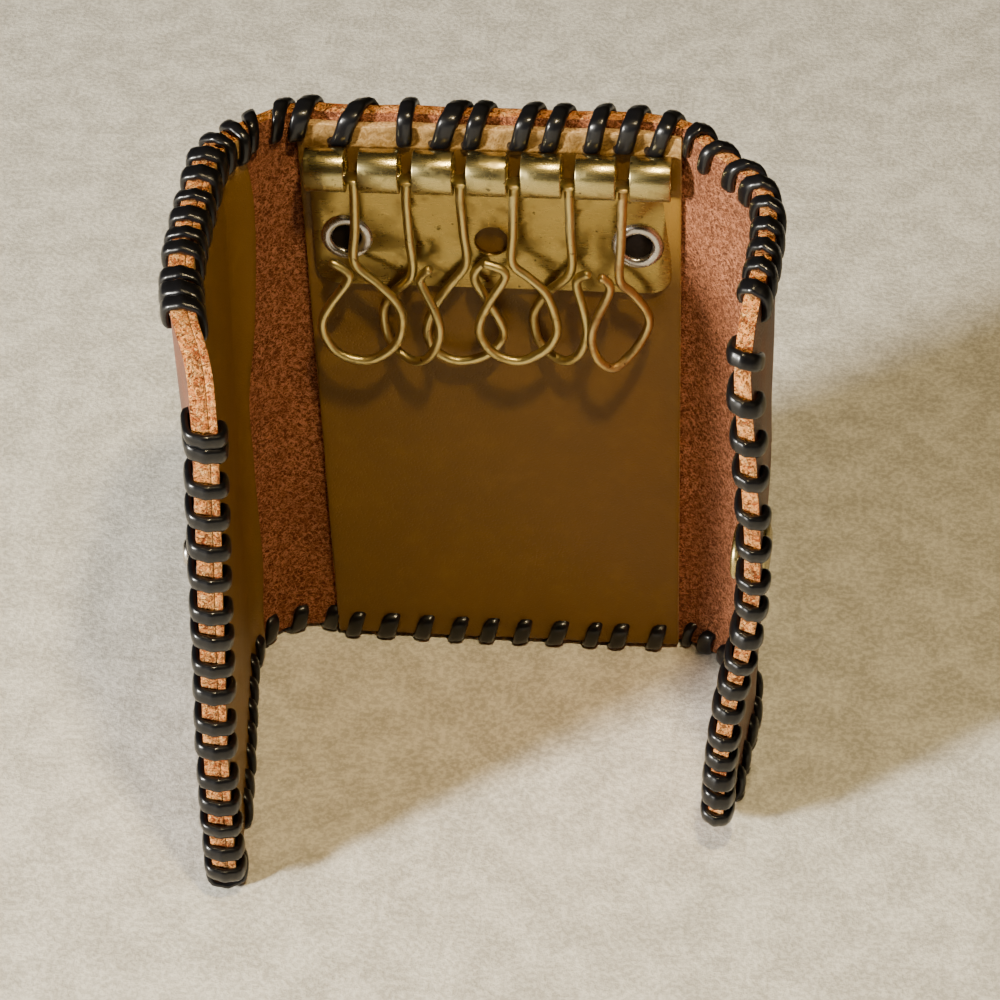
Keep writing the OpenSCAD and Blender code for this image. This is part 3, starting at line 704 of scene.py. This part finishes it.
# %% Lace the back
lace_back = bmesh.new()
along_edge(lace_back, (-17.6, -10.8, -4.4, -1.0, 5.4, 9.7, 15.0, 19.5, 24.2), True, 1.0,
    (7.6, 1.6, 6.4, 4.8, 5.4, 5.2, 4.0, 4.8, 6.2), 4.2)
along_edge(lace_back, (-23.9, -18.9, -13.5, -8.4, -3.7, 1.6, 6.6, 11.8, 16.1, 21.4), False, 2.0)
finish_lace("lace_of_back", lace_back, ("lace_back_top", "lace_back_bottom"), "case_back")

# %% Lace the bends and the flaps
def near(side, *runs):
    """Places along the strip for runs past the end of the back."""
    return [(-1 if side == "left" else 1) * (HALF_BACK + run) for run in runs]


lace_left_bend = bmesh.new()
along_edge(lace_left_bend, near("left", -1.2, 2.2, 7.6), True, 3.0)
along_edge(lace_left_bend, near("left", 2.2, 7.4), False, 4.0)
finish_lace("lace_of_left_bend", lace_left_bend, ("lace_left_bend",))

lace_left_flap = bmesh.new()
along_edge(lace_left_flap, near("left", 11.6, 15.4, 19.4, 23.8, 28.8, 33.0, 37.0, 40.2, 45.8,
    48.9, 51.8), True, 5.0)
along_edge(lace_left_flap, near("left", 12.0, 16.6, 21.3, 26.0, 30.7, 35.4, 40.1, 44.8, 49.5),
    False, 6.0)
round_free_end(lace_left_flap, "left", (35.2, 33.0, 27.1, 21.8, 16.7, 11.4, 5.8, 1.2, -3.7, -8.4,
    -14.2, -18.7, -24.7, -29.4, -34.0, -38.4, -42.6, -47.0), 7.0)
finish_lace("lace_of_left_flap", lace_left_flap,
    ("lace_left_top", "lace_left_front", "lace_left_bottom"))

lace_right_bend = bmesh.new()
along_edge(lace_right_bend, near("right", 4.4, 10.0), True, 8.0, (6.4, 5.2))
along_edge(lace_right_bend, near("right", 0.9, 4.6, 8.8), False, 9.0)
finish_lace("lace_of_right_bend", lace_right_bend, ("lace_right_bend",))

lace_right_flap = bmesh.new()
along_edge(lace_right_flap, near("right", 15.6, 20.2, 24.6, 29.2, 33.8, 37.9), True, 10.0)
along_edge(lace_right_flap, near("right", 13.6, 18.4, 23.2, 28.0, 32.8, 37.4), False, 11.0)
round_free_end(lace_right_flap, "right", (49.4, 40.6, 33.8, 27.4, 21.5, 15.3, 9.6, 3.9, -0.6,
    -5.7, -10.8, -15.3, -19.9, -25.3, -29.2, -33.0, -36.6, -40.4), 12.0)
finish_lace("lace_of_right_flap", lace_right_flap,
    ("lace_right_top", "lace_right_front", "lace_right_bottom"))

# %% [markdown]
# ## The key plate
#
# The plate is a sheet of brass whose top is rolled into a bar, and the bar is slotted into seven
# knuckles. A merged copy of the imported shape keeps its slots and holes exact. The roll is made
# taller about its own axis, as the photograph shows it, but no deeper, because the closed left
# flap lies close in front of it. Then the edges are broken: stamped brass that has been handled
# for years has no sharp edge left.

# %% Grow the roll and break the plate's edges
PLATE_T = 0.75
ROLL_Y, ROLL_Z, ROLL_R, ROLL_GROWTH = -3.75, 88.0, 2.65, 0.5
ROLL_BEHIND = -LINING_T - 1.1  # what stands further out than this belongs to the roll
plate = bmesh.new()
plate.from_mesh(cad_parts["key_plate"].data)
bmesh.ops.remove_doubles(plate, verts=plate.verts[:], dist=1e-6)
bmesh.ops.dissolve_limit(plate, angle_limit=math.radians(1.0), verts=plate.verts[:],
    edges=plate.edges[:])
for v in plate.verts:
    v.co = v.co / MM - MIDDLE
    from_axis = Vector((0.0, v.co.y - ROLL_Y, v.co.z - ROLL_Z))
    if from_axis.length < ROLL_R + 0.1:
        v.co.z += from_axis.z * ROLL_GROWTH / ROLL_R
sharp_edges = [e for e in plate.edges if e.calc_face_angle(0.0) > math.radians(38)]
bmesh.ops.bevel(plate, geom=sharp_edges, offset=0.13, segments=2, profile=0.5, affect="EDGES",
    material=-1, clamp_overlap=True)
# The roll takes the bar's brass; the sheet below it takes the darker copy, which is painted shade.
for f in plate.faces:
    middle = f.calc_center_median()
    f.material_index = 0 if middle.y < ROLL_BEHIND or middle.z > ROLL_Z else 1
finish_piece("brass_key_plate", plate, [bar_brass, shaded_sheet_brass], "case_back",
    nodes=("key_plate",), sharp=34.0)

# %% [markdown]
# ## Turned pieces
#
# Eyelets and the parts of the snap are round, so each is a profile spun about its own axis. The
# profile is a short list of radius and height. The pieces on the flaps are set on the bent
# leather: a second point just outside the first gives the way that it faces.

# %% Spin a profile
def turned(bm, profile, place, ring=False, steps=40):
    """Spin a profile about Z and set it in its place. A ring's profile closes on itself."""
    verts = [bm.verts.new((r, 0.0, h)) for r, h in profile]
    pairs = list(zip(verts, verts[1:])) + ([(verts[-1], verts[0])] if ring else [])
    edges = [bm.edges.new(pair) for pair in pairs]
    bmesh.ops.spin(bm, geom=verts + edges, axis=(0, 0, 1), cent=(0, 0, 0), angle=2 * math.pi,
        steps=steps, use_merge=True)
    linked, found = set(verts), list(verts)
    while found:
        for e in found.pop().link_edges:
            for v in e.verts:
                if v not in linked:
                    linked.add(v)
                    found.append(v)
    bmesh.ops.transform(bm, matrix=place, verts=list(linked))
    bmesh.ops.remove_doubles(bm, verts=list(linked), dist=0.002)


def facing(origin, way):
    """A place whose Z axis points that way."""
    return Matrix.Translation(origin) @ way.to_track_quat("Z", "Y").to_matrix().to_4x4()


def on_leather(along, z, out):
    """A place on the bent leather whose Z axis points out of it."""
    here = bent(along, z, out)
    way = (bent(along, z, out + 1.0) - here).normalized()
    return facing(here, way)


def rounded(r, low, high, steps=5):
    """A quarter round at the outer rim of a profile, from its side to its top."""
    size = high - low
    return [(r - size + size * math.cos(a), low + size * math.sin(a))
            for a in (math.pi / 2 * i / steps for i in range(steps + 1))]


# %% Eyelets
EYELET_Z, EYELET_X, PLATE_FACE = 75.6, 19.9, -LINING_T - PLATE_T
TO_THE_FRONT = Vector((0, -1, 0))
eyelet_rim = [(2.8 + 0.75 * math.cos(a), 0.48 * math.sin(a) + 0.05)
              for a in (math.pi * i / 9 for i in range(10))]
eyelet_bore = [(2.0, -0.25), (2.0, -1.95), (2.3, -1.95), (2.3, -0.05)]
eyelets = bmesh.new()
for x in (-EYELET_X, EYELET_X):
    turned(eyelets, eyelet_rim + eyelet_bore + [(3.6, 0.0)],
        facing(Vector((x, PLATE_FACE, EYELET_Z)), TO_THE_FRONT), ring=True, steps=48)
    # A near-black disc just behind each eyelet's mouth is painted shade for the deep bore.
    disc = bmesh.ops.create_circle(eyelets, cap_ends=True, radius=2.1, segments=48, matrix=facing(
        Vector((x, PLATE_FACE + 0.2, EYELET_Z)), TO_THE_FRONT))["verts"]
    for f in {f for v in disc for f in v.link_faces}:
        f.material_index = 1
finish_piece("nickel_eyelets", eyelets, [nickel, bore_painted_shade.material], "case_back",
    nodes=("plate_eyelets",))

# %% The snap
SNAP_Z, STUD_RUN, SOCKET_RUN = 49.6, 26.4, 14.6
stud_at = -(HALF_BACK + bend_run("left") + STUD_RUN)
socket_at = HALF_BACK + bend_run("right") + SOCKET_RUN
stud = bmesh.new()
turned(stud, [(0, 0), (3.6, 0), (3.7, 0.2), (3.2, 0.55), (1.7, 0.7), (1.5, 0.95), (1.6, 1.15),
    (1.82, 1.4), (1.87, 1.75), (1.84, 2.1), (1.6, 2.42), (1.1, 2.57), (0.5, 2.6), (0, 2.6)],
    on_leather(stud_at, SNAP_Z, HALF_T))
finish_piece("nickel_stud", stud, [nickel], "left_flap", nodes=("snap_stud",))
post = bmesh.new()
turned(post, [(0, 0.0), (1.1, 0.0), (1.1, -2.0), (3.0, -2.0), (3.0, -2.15), (2.85, -2.4),
    (0, -2.4)], on_leather(stud_at, SNAP_Z, HALF_T))
finish_piece("nickel_post", post, [nickel], "left_flap", nodes=("stud_post",))

socket = bmesh.new()
turned(socket, [(2.05, 0.05), (3.3, 0.05), (3.55, 0.2), (3.8, 0.5), *rounded(3.8, 1.0, 1.6),
    (2.6, 1.6), (2.2, 1.45), (2.05, 1.2)],
    on_leather(socket_at, SNAP_Z, -HALF_T) @ Matrix.Rotation(math.pi, 4, "X"), ring=True)
finish_piece("brass_socket", socket, [bar_brass], "right_flap",
    nodes=("snap_socket",))
cap = bmesh.new()
turned(cap, [(0, 0.0), (4.2, 0.0), (4.3, 0.15), (4.3, 0.35), (4.1, 0.62), (3.5, 0.85),
    (2.4, 0.97), (1.2, 1.0), (0, 1.0)], on_leather(socket_at, SNAP_Z, HALF_T))
finish_piece("brass_cap", cap, [bar_brass], "right_flap", nodes=("snap_cap",))

# %% [markdown]
# ## The hooks
#
# Each hook is one length of brass wire with a nail head. It hangs down, sweeps round a loop,
# comes back up to a waist beside its stem, and flares out so that a key slides on. No two are
# alike, so each has its own list of points, across and down from the middle of the bar, in a plane
# that leans off the wall and may be twisted. The wire is a skin over rings.

# %% Bend the wire
BAR = Vector((0.0, -3.85, 88.1))
HOOK_PITCH, WIRE_R = 7.25, 0.66
WIRE_ROWS, WIRE_SIDES = 96, 12
TIP = (0.45, 0.8, 0.96)  # how the wire's last rings close in, from the tip
# all hooks lean a little further out, in degrees, and hang a little shorter than their lists say
EXTRA_LEAN, LENGTH_SHARE = 0.6, 0.99
# lean and twist in degrees, then the points
HOOKS = (
    (2.5, 0, ((0, -1.2), (0, -4.4), (-0.2, -9.6), (-0.5, -15.0), (2.5, -18.3), (4.85, -21.2),
        (5.7, -24.2), (4.7, -28.2), (1.9, -30.8), (-0.8, -31.3), (-3.7, -30.1), (-5.3, -27.4),
        (-5.5, -24.8), (-4.2, -22.0), (-1.55, -17.9), (-1.85, -16.3), (-4.0, -14.9))),
    (1.6, 28, ((0, -1.2), (-0.3, -4.7), (-0.1, -10.8), (0.1, -16.6), (-2.9, -20.5), (-4.6, -23.1),
        (-5.2, -25.4), (-4.6, -29.0), (-2.7, -31.1), (0.2, -31.5), (2.8, -29.2), (4.3, -25.1),
        (3.7, -21.9), (1.5, -17.8), (1.7, -16.4), (3.2, -14.6))),
    (-2.0, 0, ((0, -1.2), (-0.2, -4.1), (0, -9.7), (0.2, -15.3), (-2.1, -19.0), (-4.3, -22.7),
        (-5.7, -26.9), (-5.1, -30.4), (-3.3, -32.2), (-1.0, -32.7), (2.1, -31.7), (4.3, -29.3),
        (4.9, -26.5), (2.8, -21.4), (1.3, -18.3), (1.6, -16.3), (3.4, -14.5))),
    (3.2, 0, ((0, -1.2), (-0.2, -3.9), (-0.4, -9.2), (-0.6, -14.0), (1.7, -16.4), (4.0, -19.0),
        (5.4, -23.9), (4.8, -26.8), (3.0, -28.8), (0.3, -30.2), (-2.5, -29.7), (-4.5, -27.9),
        (-5.4, -24.8), (-4.0, -20.8), (-1.7, -16.7), (-1.95, -15.3), (-3.1, -14.7),
        (-4.7, -14.2))),
    (1.4, 29, ((0, -1.2), (0, -3.3), (0.1, -9.4), (0.1, -15.4), (-3.4, -19.8), (-5.5, -23.2),
        (-6.2, -25.5), (-5.8, -28.4), (-4.6, -30.1), (-2.7, -31.0), (-0.6, -30.8), (1.6, -28.4),
        (2.6, -24.7), (2.1, -21.1), (1.0, -17.4), (1.5, -15.8), (3.2, -14.7))),
    (3.4, -20, ((0, -1.2), (-0.1, -4.2), (-0.3, -10.1), (-0.5, -16.0), (1.2, -18.4), (3.2, -21.6),
        (3.7, -24.0), (2.7, -26.5), (1.0, -28.8), (-1.2, -30.4), (-3.0, -29.4), (-4.1, -27.4),
        (-4.5, -24.4), (-3.6, -21.5), (-1.95, -17.8), (-2.2, -16.1), (-3.4, -15.0))),
)


def wire_hook(i, lean, twist, points):
    """The wire and the head of one hook, counted from the left."""
    lean, twist = math.radians(lean + EXTRA_LEAN), math.radians(twist)
    tilt = Matrix.Rotation(-lean, 3, "X") @ Matrix.Rotation(-twist, 3, "Z")
    knuckle = BAR + Vector(((i - (len(HOOKS) - 1) / 2) * HOOK_PITCH, 0.0, 0.0))
    path = [Vector((x, 0.0, LENGTH_SHARE * z)) for x, z in smooth_path(points, WIRE_ROWS)]
    front = Vector((0.0, -1.0, 0.0))
    rings = []
    for k, p in enumerate(path):
        way = (path[min(k + 1, len(path) - 1)] - path[max(k - 1, 0)]).normalized()
        side_way = way.cross(front)
        end = len(path) - 1 - k
        r = WIRE_R * (TIP[end] if end < len(TIP) else 1.0)
        rings.append([knuckle + tilt @ (p + (front * math.cos(a) + side_way * math.sin(a)) * r)
                      for a in (2 * math.pi * j / WIRE_SIDES for j in range(WIRE_SIDES))])
    bm = bmesh.new()
    skin(bm, rings)
    head = [(0, -1.6), (1.2, -1.6), (1.35, -1.5), (1.35, -1.15), (1.2, -1.0), (0, -1.0)]
    turned(bm, head, Matrix.Translation(knuckle) @ tilt.to_4x4(), steps=24)
    return bm


for i, (lean, twist, points) in enumerate(HOOKS):
    wire = red_brass if i == len(HOOKS) - 1 else hook_brass
    finish_piece(f"wire_hook_{i + 1}", wire_hook(i, lean, twist, points), [wire],
        f"key_hook_{i + 1}", nodes=(f"hook_{i + 1}",), sharp=60.0)

# %% [markdown]
# ## Floor and light
#
# The case stands on a plain pale floor. Light from a window comes in low from the left and throws
# the flaps' shadows to the right. A small warm lamp above throws the hooks' shadows down the
# lining. A weak light from the right and the room's own glow stand for warm walls, so the
# shadows on the floor are warmer than the light.

# %% Floor
floor_finish = Finish("pale_floor", roughness=0.9, specular_ior_level=0.2)
weave = floor_finish.noise(0.9, 6.0, 0.7)
blotches = floor_finish.step(floor_finish.noise(7.0, 5.0, 0.65), 0.40, 0.62)
mottle = blotches * 0.45 + floor_finish.step(weave, 0.43, 0.58) * 0.55
floor_finish.wear(base_color=floor_finish.mix(mottle, (0.53, 0.50, 0.43), (0.875, 0.84, 0.745)),
    normal=floor_finish.relief(weave, 0.15))
ground = bmesh.new()
bmesh.ops.create_grid(ground, x_segments=1, y_segments=1, size=3.0)
floor_mesh = bpy.data.meshes.new("floor")
ground.to_mesh(floor_mesh)
ground.free()
floor_mesh.materials.append(floor_finish.material)
floor = bpy.data.objects.new("floor", floor_mesh)
bpy.context.scene.collection.objects.link(floor)

# %% Lights
LIT_POINT = Vector((0.0, 0.0, 0.045))  # half way up the case, in metres


def soft_light(name, place, size, power, colour):
    """A round lamp that looks at the case, with its place and size in metres."""
    lamp = bpy.data.objects.new(name, bpy.data.lights.new(name, "AREA"))
    lamp.data.shape, lamp.data.size, lamp.data.energy, lamp.data.color = "DISK", size, power, colour
    lamp.location = place
    aim = LIT_POINT - Vector(place)
    lamp.rotation_mode = "QUATERNION"
    lamp.rotation_quaternion = aim.to_track_quat("-Z", "Y")
    bpy.context.scene.collection.objects.link(lamp)


soft_light("window", (-0.83, -0.65, 0.38), 0.16, 40.5, (1.0, 0.96, 0.87))
soft_light("ceiling", (0.06, -0.125, 0.40), 0.024, 1.3, (1.0, 0.78, 0.42))
soft_light("opposite_wall", (0.85, -0.45, 0.55), 0.50, 0.25, (1.0, 0.76, 0.42))
world = bpy.data.worlds.new("room")
bpy.context.scene.world = world
world.use_nodes = True
glow = world.node_tree.nodes["Background"]
glow.inputs["Color"].default_value = (1.0, 0.75, 0.43, 1.0)
glow.inputs["Strength"].default_value = 0.02
print("three lights and the room's own light")
